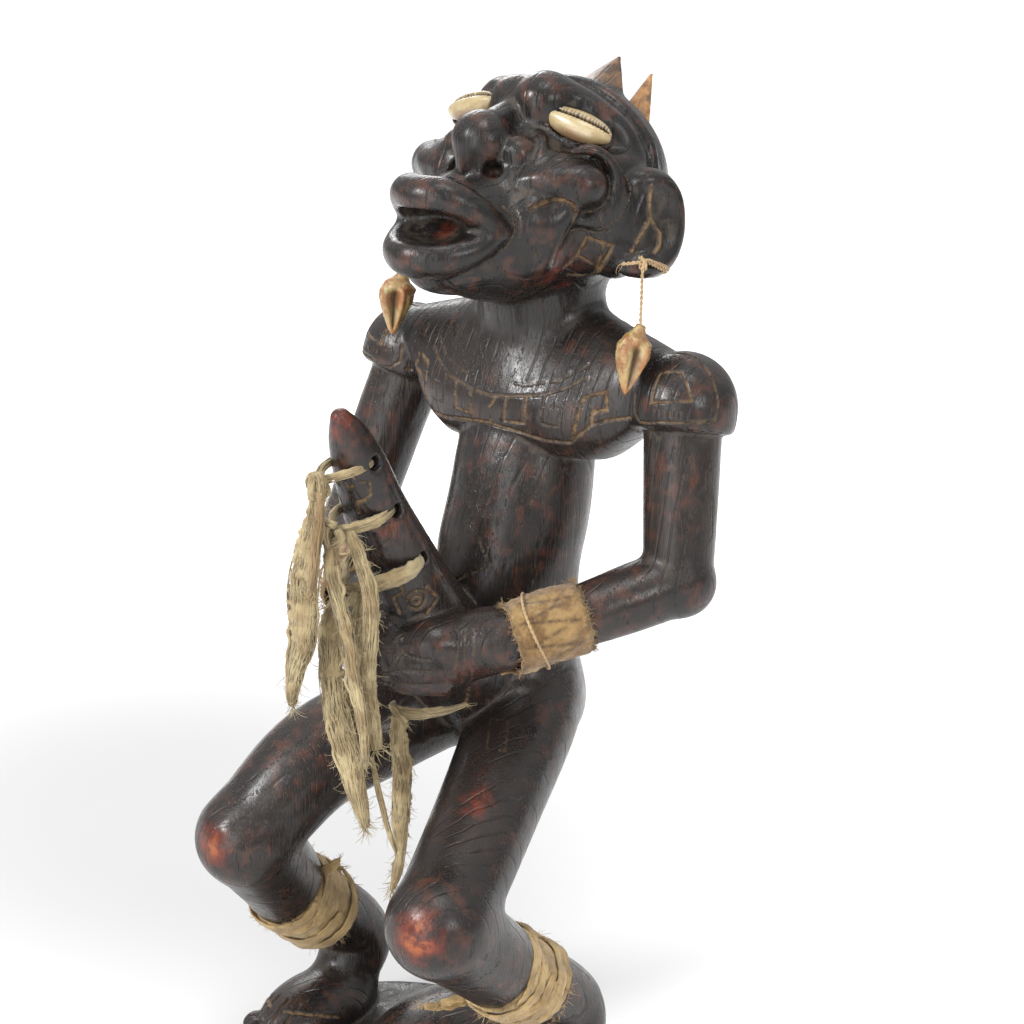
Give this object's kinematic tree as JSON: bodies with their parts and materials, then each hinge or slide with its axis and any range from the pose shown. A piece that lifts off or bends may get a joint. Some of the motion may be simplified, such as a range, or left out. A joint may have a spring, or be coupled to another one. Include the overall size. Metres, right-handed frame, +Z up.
{
  "type": "spirit sculpture",
  "caption": "Carved hardwood spirit figure crouching on a low base, holding a pierced upright emblem, with cowrie eyes, shell ear pendants and fibre ties.",
  "frame": {"origin": "a point on the flat underside of the base, below the figure's trunk", "axes": "+Z up; the figure faces -Y, and its own left is +X"},
  "size_m": [0.163, 0.1772, 0.3584],
  "materials": {
    "wood": "dark polished hardwood with open grain, worn orange-red at the knees",
    "cowrie": "glossy cream cowrie shell",
    "ear_shell": "worn cream and orange spiral shell",
    "bark_cloth": "beaten bark cloth, ochre and brown",
    "fibre_cloth": "tan fibre cloth with frayed edges",
    "fibre": "dry straw-coloured plant fibre"
  },
  "bodies": {
    "root": {"carved_figure": "wood", "left_cowrie_eye": "cowrie", "right_cowrie_eye": "cowrie", "left_ear_string": "fibre", "right_ear_string": "fibre", "left_ear_shell": "ear_shell", "right_ear_shell": "ear_shell", "left_wrist_band": "bark_cloth", "right_wrist_band": "bark_cloth", "left_leg_band": "fibre_cloth", "right_leg_band": "fibre_cloth", "upper_tie_strand": "fibre", "upper_tie_strip": "fibre", "middle_tie_strand": "fibre", "middle_tie_strip": "fibre", "lower_tie_strand": "fibre", "lower_tie_strip": "fibre", "lower_tie_thread": "fibre", "groin_tie_strand": "fibre"}
  },
  "joints": []
}
